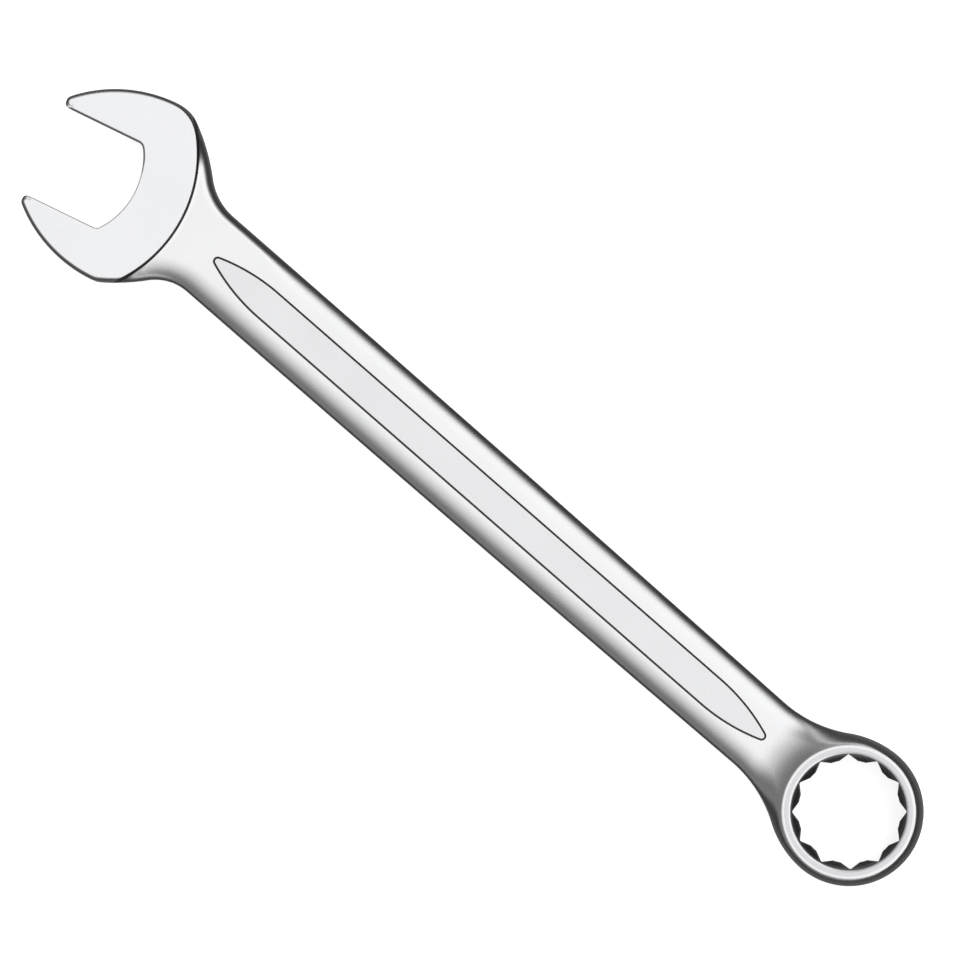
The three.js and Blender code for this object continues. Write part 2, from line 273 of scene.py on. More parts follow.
# %% [markdown]
# ## The height above the middle plane
# The height is built up as a toolmaker would say it. The crest is the height away from the edges: the
# shank's, rising in a cove to the ring's face. A quarter of an ellipse takes it down to the narrow edge
# all round. Behind the step the open head's own flat face is higher, and the flank is narrow on the
# upper side of its neck. The edge of the jaw's upper flat is eased more than the lower one's. The
# panel is sunk by half a millimetre between sloping walls. A cone with a soft lip eases the mouth of
# the bore.

# %% Sizes of the shank, its flanks and the ring's ramp
SHANK_HALF = 3.3
SHANK_EDGE = 0.8
FLANK_WIDTH = 5.2
NECK_FLANK = 2.2
NECK_START, NECK_END = -145.0, -162.0
NECK_SIDE = 3.0
RING_BAND = 1.5
RING_EDGE = ring_half - 4.0
BAND_START, BAND_END = -20.0, -5.0
COVE_LENGTH = 8.1
COVE_LIMIT = 0.9
CREST_BLEND = 0.12

# %% Sizes of the open head's face, its step and its edges
FACE_ROUND, FACE_DROP = 0.9, 2.4
STEP_ROUND, STEP_DROP = 0.4, 0.55
STEP_WALL = 0.08
STEP_LINE = 0.2
FOOT_WIDTH, FOOT_HEIGHT = 0.9, 0.3
UPPER_ROUND, UPPER_DROP = 0.5, 0.9
LOWER_ROUND, LOWER_DROP = 0.2, 0.25
UPPER_FROM, UPPER_TO = 0.35 * jaw_half, 0.85 * jaw_half
TIP_BLEND = 1.2

# %% Sizes of the panel and the bore
PANEL_HALF = 3.32
PANEL_DEPTH = 0.5
PANEL_WALL = 0.42
PANEL_POINT = 14.3
PANEL_POINT_RADIUS = 40.0
PANEL_GAP = 1.0
BORE_FLAT = 9.675
CORNER_RELIEF = 0.35
MOUTH_RADIUS = BORE_FLAT / math.cos(math.pi / 6) + CORNER_RELIEF
MOUTH_BLEND = 0.6
MOUTH_REACH = 1.0


# %% Ways to blend two heights
def smooth(value, low, high):
    share = np.clip((value - low) / (high - low), 0, 1)
    return share * share * (3 - 2 * share)


def soft_min(a, b, blend):
    mix = np.clip(0.5 + 0.5 * (b - a) / blend, 0, 1)
    return b * (1 - mix) + a * mix - blend * mix * (1 - mix)


def eased(distance, width, drop):
    """How far a rounded edge has fallen, at a distance in from the edge: a quarter of an ellipse."""
    share = 1 - np.clip(distance / width, 0, 1)
    return drop * (1 - np.sqrt(1 - share**2))


# %% The panel's outline
panel_start, panel_end = jaw_seam + PANEL_GAP, ring_seam - PANEL_GAP
panel_middle = (panel_start + panel_end) / 2
panel_straight = (panel_end - panel_start) / 2 - PANEL_POINT
panel_sink = PANEL_POINT_RADIUS - PANEL_HALF
panel_tip = PANEL_POINT_RADIUS**2 - panel_sink**2 - PANEL_POINT**2
panel_tip /= 2 * (PANEL_POINT_RADIUS - PANEL_POINT)
panel_lean = math.asin((PANEL_POINT - panel_tip) / (PANEL_POINT_RADIUS - panel_tip))
tip_centre_x = panel_straight + PANEL_POINT - panel_tip
panel_quarter = [
    Arc((tip_centre_x, 0), panel_tip, 0, math.pi / 2 - panel_lean),
    Arc((panel_straight, -panel_sink), PANEL_POINT_RADIUS, math.pi / 2 - panel_lean, math.pi / 2),
]


def inside_panel(points):
    """The distance in from the panel's edge, negative outside, worked in one folded quarter."""
    folded = np.abs(points - (panel_middle, 0))
    by_side = PANEL_HALF - folded[:, 1]
    by_point = PANEL_POINT_RADIUS - np.hypot(folded[:, 0] - panel_straight, folded[:, 1] + panel_sink)
    by_tip = panel_tip - np.hypot(folded[:, 0] - tip_centre_x, folded[:, 1])
    past_lean = np.arctan2(folded[:, 1], folded[:, 0] - tip_centre_x) < math.pi / 2 - panel_lean
    in_tip = past_lean & (folded[:, 0] > tip_centre_x)
    return np.where(in_tip, by_tip, np.where(folded[:, 0] > panel_straight, by_point, by_side))


# %% The height itself
def past_face(points):
    """How far a point lies beyond the edge of the open head's flat face."""
    return np.hypot(*(points - face_centre).T) - FACE_RADIUS


def on_face(points):
    return (points[:, 0] < jaw_seam) & (past_face(points) < STEP_WALL / 2)


def crest_height(radius):
    """The shank's height away from its edges, and its climb on a cove to the ring's face."""
    rise = ring_half - SHANK_HALF
    cove = (COVE_LENGTH**2 + rise**2) / (2 * rise)
    climb = np.clip(ring_radius - RING_BAND + COVE_LENGTH - radius, 0, COVE_LIMIT * cove)
    ramp = SHANK_HALF + cove - np.sqrt(cove**2 - climb**2)
    return soft_min(ramp, np.full(len(radius), ring_half), CREST_BLEND)


def body_height(points, from_edge):
    """The shank and the ring: the crest, brought down at the flanks, the panel and the bore's mouth."""
    x, y = points.T
    radius = np.hypot(x, y)
    near_ring = smooth(x, BAND_START, BAND_END)
    upper_neck = smooth(-x, -NECK_START, -NECK_END) * smooth(y, 0, NECK_SIDE)
    width = FLANK_WIDTH + (RING_BAND - FLANK_WIDTH) * near_ring + (NECK_FLANK - FLANK_WIDTH) * upper_neck
    edge = SHANK_EDGE + (RING_EDGE - SHANK_EDGE) * near_ring
    share = 1 - np.clip(from_edge / width, 0, 1)
    body = edge + (crest_height(radius) - edge) * np.sqrt(1 - share**2)
    body = body - PANEL_DEPTH * smooth(inside_panel(points), 0, PANEL_WALL)
    chamfer = ring_half - MOUTH_RADIUS + radius
    return np.where(radius < MOUTH_RADIUS + MOUTH_REACH, soft_min(body, chamfer, MOUTH_BLEND), body)


def face_height(points, from_edge):
    """The open head's flat face, eased along the outline, the jaw's opening and the step."""
    outside, past_nut = beside_jaw(points)
    tip_fade = np.where(past_nut < 0, smooth(outside, 0, TIP_BLEND), 1)
    outer_fall = eased(from_edge, FACE_ROUND, FACE_DROP) * tip_fade
    upper = smooth((points - nut_centre) @ into_jaw, UPPER_FROM, UPPER_TO)
    jaw_round = LOWER_ROUND + (UPPER_ROUND - LOWER_ROUND) * upper
    jaw_drop = LOWER_DROP + (UPPER_DROP - LOWER_DROP) * upper
    jaw_fall = eased(nearest(jaw_opening, points), jaw_round, jaw_drop)
    step_fall = eased(-past_face(points), STEP_ROUND, STEP_DROP)
    return head_half - np.maximum(outer_fall, jaw_fall) - step_fall


def height(points):
    from_edge = nearest(outer_arcs, points)
    body = body_height(points, from_edge)
    foot = eased(past_face(points) - STEP_WALL, FOOT_WIDTH, FOOT_HEIGHT)
    body = np.where(points[:, 0] < jaw_seam, body + foot, body)
    return np.where(on_face(points), face_height(points, from_edge), body)


# %% [markdown]
# ## The bore's twelve points
# A broach cuts the same tooth space twelve times. One space is drawn, and a node tree turns it round
# the ring's axis as often as its "Points" input says and welds the copies into one wall.

# %% One space of the bore, as a strip of wall
BORE_POINTS = 12
BORE_TURN = math.radians(11.5)
BORE_CORNER_RADIUS = 0.4
RIDGE_TRIM = 0.23
CORNER_SPACING, RIDGE_SPACING, WALL_SPACING = 0.12, 0.25, 0.35
WALL_ROWS = np.linspace(1, -1, 7)
WELD_GAP = 0.01


def bore_space():
    pitch = 2 * math.pi / BORE_POINTS
    ridge = BORE_FLAT / math.cos(pitch / 2) + RIDGE_TRIM
    ridge_turn = pitch - math.acos(BORE_FLAT / ridge)
    along = ridge * np.array([math.cos(ridge_turn), math.sin(ridge_turn)]) - (MOUTH_RADIUS, 0)
    swing = math.atan2(along[1], along[0]) - math.pi / 2
    round_at = MOUTH_RADIUS - BORE_CORNER_RADIUS / math.cos(swing)
    corner_arc = Arc((round_at, 0), BORE_CORNER_RADIUS, -swing, swing)
    ridge_arc = Arc((0, 0), ridge, ridge_turn, pitch - ridge_turn)
    face = Flat(corner_arc.at(swing), ridge_arc.at(ridge_turn))
    next_face = Flat(ridge_arc.at(pitch - ridge_turn), turned(corner_arc.at(-swing), pitch))
    runs = [corner_arc.points(CORNER_SPACING), face.points(WALL_SPACING)[1:]]
    runs += [ridge_arc.points(RIDGE_SPACING)[1:], next_face.points(WALL_SPACING)[1:]]
    return turned(np.vstack(runs), BORE_TURN)


def strip_mesh(name, outline, top):
    rows = len(WALL_ROWS)
    verts = [(x, y, z * row) for (x, y), z in zip(outline, top) for row in WALL_ROWS]
    faces = []
    for i in range(len(outline) - 1):
        for r in range(rows - 1):
            a = i * rows + r
            faces.append((a, a + rows, a + rows + 1, a + 1))
    mesh = bpy.data.meshes.new(name)
    mesh.from_pydata(verts, [], faces)
    return mesh


# %% The node tree that repeats it
def turning_tree():
    tree = bpy.data.node_groups.new("turn round the bore", "GeometryNodeTree")
    face = tree.interface
    face.new_socket("Space", in_out="INPUT", socket_type="NodeSocketGeometry")
    points = face.new_socket("Points", in_out="INPUT", socket_type="NodeSocketInt")
    weld = face.new_socket("Weld", in_out="INPUT", socket_type="NodeSocketFloat")
    finish = face.new_socket("Finish", in_out="INPUT", socket_type="NodeSocketMaterial")
    face.new_socket("Bore", in_out="OUTPUT", socket_type="NodeSocketGeometry")
    node, link = tree.nodes.new, tree.links.new
    given, result = node("NodeGroupInput"), node("NodeGroupOutput")
    line, index = node("GeometryNodeMeshLine"), node("GeometryNodeInputIndex")
    full = node("ShaderNodeMath")
    full.operation = "DIVIDE"
    full.inputs[0].default_value = 2 * math.pi
    step = node("ShaderNodeMath")
    step.operation = "MULTIPLY"
    turn = node("ShaderNodeCombineXYZ")
    copies, real = node("GeometryNodeInstanceOnPoints"), node("GeometryNodeRealizeInstances")
    merge, paint = node("GeometryNodeMergeByDistance"), node("GeometryNodeSetMaterial")
    line.inputs["Offset"].default_value = (0, 0, 0)
    link(given.outputs["Points"], line.inputs["Count"])
    link(given.outputs["Points"], full.inputs[1])
    link(index.outputs["Index"], step.inputs[0])
    link(full.outputs[0], step.inputs[1])
    link(step.outputs[0], turn.inputs["Z"])
    link(line.outputs["Mesh"], copies.inputs["Points"])
    link(given.outputs["Space"], copies.inputs["Instance"])
    link(turn.outputs["Vector"], copies.inputs["Rotation"])
    link(copies.outputs["Instances"], real.inputs["Geometry"])
    link(real.outputs["Geometry"], merge.inputs["Geometry"])
    link(given.outputs["Weld"], merge.inputs["Distance"])
    link(merge.outputs["Geometry"], paint.inputs["Geometry"])
    link(given.outputs["Finish"], paint.inputs["Material"])
    link(paint.outputs["Geometry"], result.inputs["Bore"])
    return tree, points.identifier, weld.identifier, finish.identifier


def turned_bore(finish_material):
    outline = bore_space()
    mesh = strip_mesh("bore space", outline, height(outline))
    maker = bpy.data.objects.new("bore space", mesh)
    bpy.context.scene.collection.objects.link(maker)
    tree, points, weld, finish = turning_tree()
    nodes = maker.modifiers.new("turn round the bore", "NODES")
    nodes.node_group = tree
    nodes[points], nodes[weld], nodes[finish] = BORE_POINTS, WELD_GAP, finish_material
    graph = bpy.context.evaluated_depsgraph_get()
    made = bpy.data.meshes.new_from_object(maker.evaluated_get(graph))
    maker.modifiers.remove(nodes)
    bpy.data.objects.remove(maker)
    verts = np.array([v.co[:] for v in made.vertices])
    print("the bore wall has", len(verts), "points and", len(made.polygons), "faces")
    return verts


# %% [markdown]
# ## Filling the plan with triangles
# A surface looks smooth only where its triangles follow its curves. So rows of points run along every
# edge, close together where the edge is tightly rounded, and a loose grid fills what is left. A
# constrained Delaunay triangulation joins them and keeps the drawn lines as edges.

# %% Points along every edge
OUTLINE_SPACING = 0.45
FINE_SPACING = 0.3
GRID_SPACING = 0.9
ROW_GAP = 0.015
POINT_GAP = 0.012
TOLERANCE = 0.002


def easing_rows(width, count):
    """Distances in from an edge, closest where the rounding is steepest."""
    return [width * (1 - math.cos(k / count * math.pi / 2)) for k in range(1, count + 1)]


def thinned(rows, gap):
    kept = []
    for row in sorted(rows):
        if not kept or row - kept[-1] > gap:
            kept.append(row)
    return kept


def without_repeats(points):
    step = np.linalg.norm(np.diff(points, axis=0), axis=1)
    return points[np.concatenate([[True], step > TOLERANCE])]


def outline_loop():
    lower = [arc.points(OUTLINE_SPACING)[::-1] for arc in reversed(lower_side)]
    upper = [arc.points(OUTLINE_SPACING) for arc in upper_side]
    jaw = [edge.points(OUTLINE_SPACING) for edge in jaw_opening]
    return without_repeats(np.vstack(upper + lower + jaw))[:-1]


def bore_loop():
    space = bore_space()[:-1]
    pitch = 2 * math.pi / BORE_POINTS
    return np.vstack([turned(space, k * pitch) for k in range(BORE_POINTS)])


def is_inside(points, loop):
    """Whether each point lies inside a closed loop, by counting the edges it would cross."""
    inside = np.zeros(len(points), bool)
    x, y = points[:, 0], points[:, 1]
    for (ax, ay), (bx, by) in zip(loop, np.roll(loop, -1, axis=0)):
        crosses = (ay > y) != (by > y)
        if crosses.any():
            at = ax + (y[crosses] - ay) * (bx - ax) / (by - ay)
            inside[crosses] ^= x[crosses] < at
    return inside


outer, bore = outline_loop(), bore_loop()
print(len(outer), "points round the outline and", len(bore), "round the bore")


# %% Rows beside the edges, the step, the panel and the mouth of the bore
def rows_beside_outline():
    rows = easing_rows(FACE_ROUND, 5) + easing_rows(FLANK_WIDTH, 14) + easing_rows(RING_BAND, 7)
    found = []
    for arc in outer_arcs:
        for depth in thinned(rows, ROW_GAP):
            row = arc.points(OUTLINE_SPACING, depth)
            found.append(row[np.abs(nearest(outer_arcs, row) - depth) < TOLERANCE])
    return np.vstack(found)


def rows_beside_jaw():
    found = []
    for edge in jaw_opening:
        for depth in easing_rows(UPPER_ROUND, 5) + easing_rows(LOWER_ROUND, 3):
            if isinstance(edge, Arc):
                found.append(edge.points(OUTLINE_SPACING, depth))
            else:
                along = (edge.end - edge.start) / np.linalg.norm(edge.end - edge.start)
                away = np.array([along[1], -along[0]]) * depth
                found.append(edge.points(OUTLINE_SPACING) + away)
    return np.vstack(found)


def beside_step(row, reach):
    arc = Arc(face_centre, FACE_RADIUS + row, jaw_turn - reach, jaw_turn + reach)
    return arc.points(FINE_SPACING)


def step_rows():
    inward = [-row for row in easing_rows(STEP_ROUND, 5)]
    outward = [STEP_WALL + row for row in easing_rows(FOOT_WIDTH, 7)]
    return [beside_step(row, math.pi / 2) for row in inward + outward]


def step_lines():
    return [beside_step(row, math.pi / 3) for row in (0, STEP_WALL)]


def panel_loop(depth):
    quarter = np.vstack([arc.points(FINE_SPACING, depth) for arc in panel_quarter])
    straight = np.arange(panel_straight, 0, -OUTLINE_SPACING)[1:]
    side = np.stack([straight, np.full(len(straight), PANEL_HALF - depth)], -1)
    quarter = without_repeats(np.vstack([quarter, side]))
    half = np.vstack([quarter, quarter[::-1] * (-1, 1)])
    whole = np.vstack([half, half[::-1][1:-1] * (1, -1)])
    return whole + (panel_middle, 0)


MOUTH_ROWS = (-0.6, -0.4, -0.2, 0, 0.15, 0.3, 0.5)
RAMP_ROWS = (-0.5, -0.2, -0.08, 0, 0.08, 0.2, 0.4, 0.8, 1.4, 2.1)


def circle(radius, spacing):
    return Arc((0, 0), radius, 0, 2 * math.pi).points(spacing)[:-1]


def mouth_rows():
    return [circle(MOUTH_RADIUS + gap, FINE_SPACING) for gap in MOUTH_ROWS]


def ramp_rows():
    top = ring_radius - RING_BAND
    return [circle(top + gap, OUTLINE_SPACING) for gap in RAMP_ROWS]


# %% The triangulation
PANEL_WALL_ROWS = (0, 0.12, 0.3, 0.5, 0.7, 0.88, 1)
SEAM_POINTS = 60
SEAM_REACH = SHANK_HALF_AT_JAW + 3


def kept_apart(candidates, placed, gap):
    tree = KDTree(len(placed))
    for i, (x, y) in enumerate(placed):
        tree.insert((x, y, 0), i)
    tree.balance()
    return np.array([p for p in candidates if tree.find((p[0], p[1], 0))[2] > gap])


def seam_line(x):
    return np.stack([np.full(SEAM_POINTS, x), np.linspace(-SEAM_REACH, SEAM_REACH, SEAM_POINTS)], -1)


def hex_grid():
    low, high = outer.min(0), outer.max(0)
    rows = np.arange(low[1], high[1], GRID_SPACING * math.sqrt(3) / 2)
    found = []
    for k, y in enumerate(rows):
        xs = np.arange(low[0] + (k % 2) * GRID_SPACING / 2, high[0], GRID_SPACING)
        found.append(np.stack([xs, np.full(len(xs), y)], -1))
    return np.vstack(found)


def in_metal(points):
    return is_inside(points, outer) & ~is_inside(points, bore)


def triangulated():
    loops = [outer, bore] + [panel_loop(share * PANEL_WALL) for share in PANEL_WALL_ROWS]
    lines = step_lines() + [seam_line(jaw_seam), seam_line(ring_seam)]
    fixed = np.vstack(loops + lines)
    edges, first = [], 0
    for k, run in enumerate(loops + lines):
        steps = [(first + i, first + i + 1) for i in range(len(run) - 1)]
        if k < len(loops):
            steps.append((first + len(run) - 1, first))
        edges += steps
        first += len(run)
    rows = np.vstack([rows_beside_outline(), rows_beside_jaw()] + step_rows() + mouth_rows() + ramp_rows())
    rows = rows[in_metal(rows)]
    behind = past_face(rows)
    rows = rows[(rows[:, 0] > jaw_seam) | (behind < -TOLERANCE) | (behind > STEP_WALL + TOLERANCE)]
    rows = kept_apart(rows, fixed, POINT_GAP)
    grid = hex_grid()
    grid = kept_apart(grid[in_metal(grid)], np.vstack([fixed, rows]), GRID_SPACING / 2)
    points = np.vstack([fixed, rows, grid])
    made = delaunay_2d_cdt([Vector(p) for p in points], edges, [], 0, 1e-5, False)
    verts, faces = np.array([v[:] for v in made[0]]), np.array(made[2])
    faces = faces[in_metal(verts[faces].mean(1))]
    used, faces = np.unique(faces, return_inverse=True)
    return verts[used], faces.reshape(-1, 3)


plan, plan_faces = triangulated()
print(len(plan), "points and", len(plan_faces), "triangles on each face")

# %% [markdown]
# ## From the plan to a closed forging
# The upper face is the lifted plan and the lower face is its mirror image. Strips of wall close the
# outline between them, and the turned bore closes the hole. The normals on the rounded faces are
# worked out from the height function, so light slides over the facets as if they were not there.


# %% Loops round the plan's edge
def boundary_loops(faces):
    edges = np.vstack([faces[:, [0, 1]], faces[:, [1, 2]], faces[:, [2, 0]]])
    known = {tuple(edge) for edge in edges.tolist()}
    after = {a: b for a, b in known if (b, a) not in known}
    loops = []
    while after:
        first = next(iter(after))
        loop, here = [], first
        while here in after:
            loop.append(here)
            here = after.pop(here)
        loops.append(loop)
    return sorted(loops, key=len, reverse=True)


def loop_normals(points, limit_deg=180.0):
    """Outward directions at the start and the end of each edge of a closed loop, in plan."""
    along = np.roll(points, -1, axis=0) - points
    along /= np.linalg.norm(along, axis=1)[:, None]
    out = np.stack([along[:, 1], -along[:, 0]], -1)
    before, after = np.roll(out, 1, axis=0), np.roll(out, -1, axis=0)
    limit = math.cos(math.radians(limit_deg))
    start = np.where(((out * before).sum(1) > limit)[:, None], out + before, out)
    end = np.where(((out * after).sum(1) > limit)[:, None], out + after, out)
    start /= np.linalg.norm(start, axis=1)[:, None]
    end /= np.linalg.norm(end, axis=1)[:, None]
    return start, end


edge_loops = boundary_loops(plan_faces)
print("loops round the plan:", [len(loop) for loop in edge_loops])

# %% Heights and normals of the upper face
SLOPE_STEP = 0.004


def upper_normals(points):
    dx, dy = np.array([SLOPE_STEP, 0]), np.array([0, SLOPE_STEP])
    slope_x = (height(points + dx) - height(points - dx)) / (2 * SLOPE_STEP)
    slope_y = (height(points + dy) - height(points - dy)) / (2 * SLOPE_STEP)
    normals = np.stack([-slope_x, -slope_y, np.ones(len(points))], -1)
    behind = past_face(points)
    on_step = (points[:, 0] < jaw_seam) & (behind > -TOLERANCE) & (behind < STEP_WALL + TOLERANCE)
    away = points[on_step] - face_centre
    normals[on_step] = np.concatenate([away, np.zeros((len(away), 1))], -1)
    return normals / np.linalg.norm(normals, axis=1)[:, None]


plan_height = height(plan)
plan_normals = upper_normals(plan)
outline_ids = edge_loops[0]
wall_start, wall_end = loop_normals(plan[outline_ids])
plan_normals[outline_ids] = np.concatenate([wall_start, np.zeros((len(wall_start), 1))], -1)
print(f"the upper face lies {plan_height.min():.2f} to {plan_height.max():.2f} mm above the middle")


# %% Collecting the faces of the whole wrench
OUTLINE_WALL_ROWS = 6
WALL_BAND = 0.48
INNER_HIGHLIGHT_RIM, OUTER_HIGHLIGHT_RIM = 0.3, 0.5
SHARP_EDGE = 30
SEAM_TOLERANCE = 1e-4
GROUND, SATIN, BROACHED_AND_SHADED, SHADE_PAINTED, RING_FACE_DIMMED, PRESSED = 0, 1, 2, 3, 4, 5


class Shell:
    """Points, faces, a direction for each corner of each face, and each face's finish."""

    def __init__(self):
        self.points, self.faces, self.normals, self.finish = [], [], [], []

    def add_points(self, points):
        first = len(self.points)
        self.points += [tuple(p) for p in points]
        return list(range(first, first + len(points)))

    def add_face(self, corners, normals, finish):
        self.faces.append(tuple(corners))
        self.normals.append([tuple(n) for n in normals])
        self.finish.append(finish)


def flat(direction):
    return (float(direction[0]), float(direction[1]), 0.0)


def add_wall(shell, columns, start, end, finish):
    """Quads between neighbouring columns of points, each column running from the top to the bottom."""
    for i, column in enumerate(columns):
        following = columns[(i + 1) % len(columns)]
        a, b = flat(start[i]), flat(end[i])
        for r in range(len(column) - 1):
            corners = (column[r], column[r + 1], following[r + 1], following[r])
            shell.add_face(corners, (a, a, b, b), finish)


# %% The two broad faces and the outline's wall
def build_shell():
    shell = Shell()
    top = shell.add_points(np.column_stack([plan, plan_height]))
    bottom = shell.add_points(np.column_stack([plan, -plan_height]))
    middles = plan[plan_faces].mean(1)
    from_ring = np.hypot(middles[:, 0], middles[:, 1])
    ground = on_face(middles) & (nearest(outer_arcs, middles) > FACE_ROUND)
    # The mouth's chamfer takes the dark bore finish: painted shade for the dark crescents that reflection
    # shows there.
    finishes_of = np.where(from_ring < MOUTH_RADIUS, BROACHED_AND_SHADED, np.where(ground, GROUND, SATIN))
    into_panel = inside_panel(middles) / PANEL_WALL
    finishes_of = np.where(into_panel > 1, PRESSED, finishes_of)
    # The steep walls of the panel and of the step get a nearly black finish: painted shade for the dark
    # lines that reflection draws there.
    in_wall = np.abs(into_panel - 0.5) < WALL_BAND
    in_step = (middles[:, 0] < jaw_seam) & (np.abs(past_face(middles) - STEP_WALL / 2) < STEP_LINE)
    finishes_of = np.where(in_wall | in_step, SHADE_PAINTED, finishes_of)
    # The ring's face is painted darker than the rest. The rims left in the bright satin finish round it
    # are painted highlights.
    past_mouth = from_ring > MOUTH_RADIUS + INNER_HIGHLIGHT_RIM
    on_ring = past_mouth & (from_ring < ring_radius - RING_BAND - OUTER_HIGHLIGHT_RIM)
    finishes_of = np.where(on_ring, RING_FACE_DIMMED, finishes_of)
    for face, finish in zip(plan_faces.tolist(), finishes_of.tolist()):
        shell.add_face([top[i] for i in face], [plan_normals[i] for i in face], finish)
        back = face[::-1]
        shell.add_face([bottom[i] for i in back], [plan_normals[i] * (1, 1, -1) for i in back], finish)
    columns = []
    for i in outline_ids:
        x, y = plan[i]
        z = plan_height[i] * np.linspace(1, -1, OUTLINE_WALL_ROWS + 1)[1:-1]
        columns.append([top[i]] + shell.add_points([(x, y, level) for level in z]) + [bottom[i]])
    add_wall(shell, columns, wall_start, wall_end, SATIN)
    return shell, top, bottom, dict(zip(outline_ids, columns))


shell, top_ids, bottom_ids, outline_columns = build_shell()
print(len(shell.faces), "faces before the bore")


# %% The bore's wall, joined to both faces
def add_bore(shell, finish_material):
    verts = turned_bore(finish_material)
    tree = KDTree(len(verts))
    for i, co in enumerate(verts):
        tree.insert(co, i)
    tree.balance()
    loop = edge_loops[1]
    columns, furthest = [], 0
    for i in loop:
        x, y = plan[i]
        column = [top_ids[i]]
        for row in WALL_ROWS[1:-1]:
            found, _, gap = tree.find((x, y, plan_height[i] * row))
            furthest = max(furthest, gap)
            column += shell.add_points([found])
        columns.append(column + [bottom_ids[i]])
    start, end = loop_normals(plan[loop], SHARP_EDGE)
    # The bore's wall has a real broached grain, and its dark colour is painted shade.
    add_wall(shell, columns, start, end, BROACHED_AND_SHADED)
    print(f"the bore's wall meets the faces within {furthest:.4f} mm")


# %% [markdown]
# ## Chromed steel
# Chrome plate is metal, so its colour is in its reflection. What tells one finish from another is how
# rough it is. The flat faces are ground on a wheel and keep faint straight lines, the shank is
# blasted and keeps a fine even grain, and the bore is broached and smooth. The bore and the chamfer at
# its mouth are also painted dark, as painted shade. The ring's face is painted darker than its rims, so
# the rims show as painted highlights, and the walls of the panel and of the step are painted nearly
# black, as painted shade for the thin dark lines there. Each finish has a bump for the grain and a slow
# change of roughness and tint.


# %% A material with a grain
CLOUD_SCALE = 90
GRAIN_SHARE = 0.45
DARK_TINT = 0.93


def chrome(name, colour, roughness, spread, grain_scale, grain_stretch, bump):
    made = bpy.data.materials.new(name)
    made.use_nodes = True
    nodes, link = made.node_tree.nodes, made.node_tree.links.new
    surface = nodes["Principled BSDF"]
    surface.inputs["Metallic"].default_value = 1.0
    place = nodes.new("ShaderNodeTexCoord")
    stretch = nodes.new("ShaderNodeMapping")
    stretch.inputs["Scale"].default_value = grain_stretch
    stretch.inputs["Rotation"].default_value = (0, 0, jaw_turn)
    grain = nodes.new("ShaderNodeTexNoise")
    grain.inputs["Scale"].default_value = grain_scale
    grain.inputs["Detail"].default_value = 3
    clouds = nodes.new("ShaderNodeTexNoise")
    clouds.inputs["Scale"].default_value = CLOUD_SCALE
    clouds.inputs["Detail"].default_value = 4
    link(place.outputs["Object"], stretch.inputs["Vector"])
    link(stretch.outputs["Vector"], grain.inputs["Vector"])
    link(place.outputs["Object"], clouds.inputs["Vector"])
    mixed = nodes.new("ShaderNodeMix")
    mixed.inputs["Factor"].default_value = GRAIN_SHARE
    link(clouds.outputs["Fac"], mixed.inputs["A"])
    link(grain.outputs["Fac"], mixed.inputs["B"])
    rough = nodes.new("ShaderNodeMapRange")
    rough.inputs["From Min"].default_value, rough.inputs["From Max"].default_value = 0.3, 0.7
    rough.inputs["To Min"].default_value = roughness - spread
    rough.inputs["To Max"].default_value = roughness + spread
    link(mixed.outputs["Result"], rough.inputs["Value"])
    link(rough.outputs["Result"], surface.inputs["Roughness"])
    tint = nodes.new("ShaderNodeMix")
    tint.data_type = "RGBA"
    tint.inputs["A"].default_value = (*[c * DARK_TINT for c in colour], 1)
    tint.inputs["B"].default_value = (*colour, 1)
    link(mixed.outputs["Result"], tint.inputs["Factor"])
    link(tint.outputs["Result"], surface.inputs["Base Color"])
    raised = nodes.new("ShaderNodeBump")
    raised.inputs["Strength"].default_value = 1.0
    raised.inputs["Distance"].default_value = bump * MM
    link(grain.outputs["Fac"], raised.inputs["Height"])
    link(raised.outputs["Normal"], surface.inputs["Normal"])
    return made


ground_finish = chrome("ground chrome", (0.945, 0.95, 0.97), 0.26, 0.05, 700, (1, 8, 1), 0.004)
satin_finish = chrome("satin chrome", (0.955, 0.958, 0.968), 0.27, 0.05, 2600, (1, 1, 1), 0.012)
# Broached grain and smoothness are real; the very dark base colour is painted shade.
broached_and_shaded_finish = chrome("broached steel with painted shade", (0.22, 0.22, 0.23), 0.3, 0.05, 1500, (4, 4, 1), 0.003)
# Nearly black: painted shade for the steep walls of the panel and of the step.
shade_painted_finish = chrome("painted shade on steep walls", (0.14, 0.14, 0.145), 0.38, 0.05, 1500, (1, 1, 1), 0.006)
# Darker than the satin chrome, so that the ring's bright rims read as painted highlights.
ring_face_dimmed_finish = chrome("ring face chrome painted darker", (0.76, 0.755, 0.785), 0.25, 0.05, 1800, (1, 1, 1), 0.006)
pressed_finish = chrome("pressed panel", (0.89, 0.893, 0.905), 0.29, 0.05, 2400, (1, 1, 1), 0.014)
finishes = [ground_finish, satin_finish, broached_and_shaded_finish, shade_painted_finish, ring_face_dimmed_finish, pressed_finish]
add_bore(shell, broached_and_shaded_finish)


# %% [markdown]
# ## Three pieces of one forging
# The wrench is one piece of steel, and the frame names three regions of it that meet face to face.
# The shell is parted at the same two planes and each part gets its own cap, so every piece is closed
# and no seam shows.


# %% Cutting at the seams
def cap_faces(seam_x):
    """The section at a seam as polygons that face +X, from strips between the two broad faces."""
    on_seam = np.flatnonzero(np.abs(plan[:, 0] - seam_x) < SEAM_TOLERANCE)
    on_seam = on_seam[np.argsort(plan[on_seam, 1])]
    polygons = []
    for a, b in zip(on_seam[:-1], on_seam[1:]):
        low_side = outline_columns[a][::-1] if a == on_seam[0] else [bottom_ids[a], top_ids[a]]
        high_side = outline_columns[b] if b == on_seam[-1] else [top_ids[b], bottom_ids[b]]
        polygons.append((low_side + high_side)[::-1])
    return polygons


